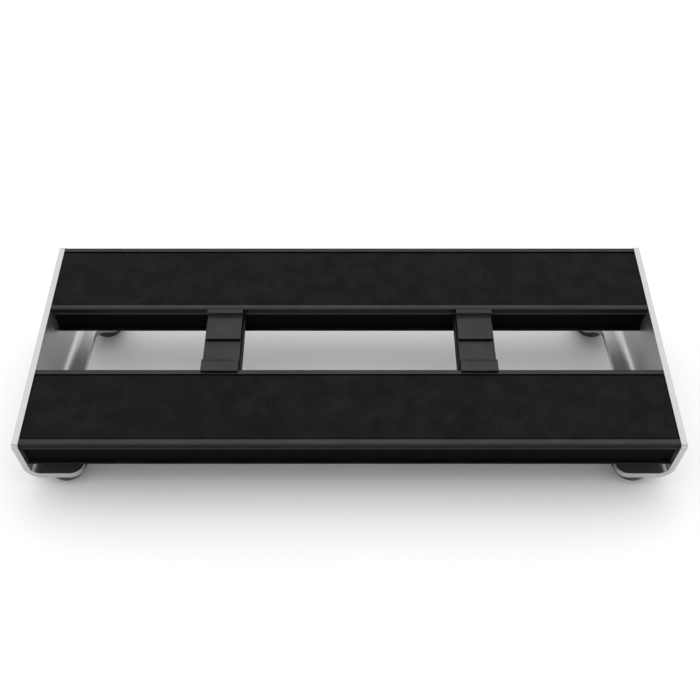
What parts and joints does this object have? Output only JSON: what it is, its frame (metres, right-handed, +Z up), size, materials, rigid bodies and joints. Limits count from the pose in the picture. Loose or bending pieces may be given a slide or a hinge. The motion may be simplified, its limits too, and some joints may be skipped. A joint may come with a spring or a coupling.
{
  "type": "pedalboard",
  "caption": "Sloped effects pedalboard: loop-topped aluminium rails between bent side plates on rubber feet, with clamp-on brackets bridging the gap.",
  "frame": {"origin": "centre of the bounding box in plan, on the floor under the feet", "axes": "+X to the player's right along the rails, +Y from the low front rail to the high rear rail, +Z up"},
  "size_m": [0.43, 0.1808, 0.0802],
  "materials": {
    "plate_aluminium": "satin clear anodised",
    "black_anodised": "satin black anodised extrusion",
    "trim_rubber": "matt extruded strip",
    "loop_fabric": "matt black loop pile",
    "bridge_metal": "dark grey satin coat",
    "channel_metal": "black satin coat",
    "foot_rubber": "matt moulded rubber",
    "zinc_steel": "bright zinc",
    "insert_brass": "turned",
    "knob_plastic": "moulded nylon over a steel screw"
  },
  "bodies": {
    "board": {"left_side_plate": "plate_aluminium", "right_side_plate": "plate_aluminium", "front_rail": "black_anodised", "rear_rail": "black_anodised", "front_rail_trim": "trim_rubber", "rear_rail_trim": "trim_rubber", "front_loop_strip": "loop_fabric", "rear_loop_strip": "loop_fabric", "left_rail_screws": "zinc_steel", "right_rail_screws": "zinc_steel", "front_left_foot": "foot_rubber", "front_right_foot": "foot_rubber", "rear_left_foot": "foot_rubber", "rear_right_foot": "foot_rubber", "foot_washers": "zinc_steel", "foot_screws": "zinc_steel"},
    "left_bridge": {"left_bridge_base": "channel_metal", "left_bridge_cover": "bridge_metal", "left_cover_screws": "zinc_steel"},
    "left_slider": {"left_bridge_slider": "bridge_metal", "left_thread_insert": "insert_brass"},
    "left_washer": {"left_lock_washer": "zinc_steel"},
    "left_knob": {"left_thumb_screw": "knob_plastic"},
    "right_bridge": {"right_bridge_base": "channel_metal", "right_bridge_cover": "bridge_metal", "right_cover_screws": "zinc_steel"},
    "right_slider": {"right_bridge_slider": "bridge_metal", "right_thread_insert": "insert_brass"},
    "right_washer": {"right_lock_washer": "zinc_steel"},
    "right_knob": {"right_thumb_screw": "knob_plastic"}
  },
  "joints": [
    {"name": "left_bridge_slide", "type": "slide", "parent": "board", "child": "left_bridge", "axis": [1, 0, 0], "range_m": [-0.1098, 0.0736]},
    {"name": "left_slider_release", "type": "slide", "parent": "left_bridge", "child": "left_slider", "axis": [0, 0.9823, 0.1874], "range_m": [0, 0.003]},
    {"name": "left_washer_drop", "type": "slide", "parent": "left_slider", "child": "left_washer", "axis": [0, -0.1874, 0.9823], "range_m": [-0.0007, 0]},
    {"name": "left_knob_turn", "type": "hinge", "parent": "left_washer", "child": "left_knob", "pos_m": [-0.0875, -0.01454, 0.05276], "axis": [0, -0.1874, 0.9823], "range_deg": [-360, 0]},
    {"name": "right_bridge_slide", "type": "slide", "parent": "board", "child": "right_bridge", "axis": [1, 0, 0], "range_m": [-0.0736, 0.1098]},
    {"name": "right_slider_release", "type": "slide", "parent": "right_bridge", "child": "right_slider", "axis": [0, 0.9823, 0.1874], "range_m": [0, 0.003]},
    {"name": "right_washer_drop", "type": "slide", "parent": "right_slider", "child": "right_washer", "axis": [0, -0.1874, 0.9823], "range_m": [-0.0007, 0]},
    {"name": "right_knob_turn", "type": "hinge", "parent": "right_washer", "child": "right_knob", "pos_m": [0.0875, -0.01454, 0.05276], "axis": [0, -0.1874, 0.9823], "range_deg": [-360, 0]}
  ],
  "couplings": [
    {"joint": "left_washer_drop", "follows": "left_knob_turn", "m_per_rad": 0.00011141},
    {"joint": "right_washer_drop", "follows": "right_knob_turn", "m_per_rad": 0.00011141}
  ]
}
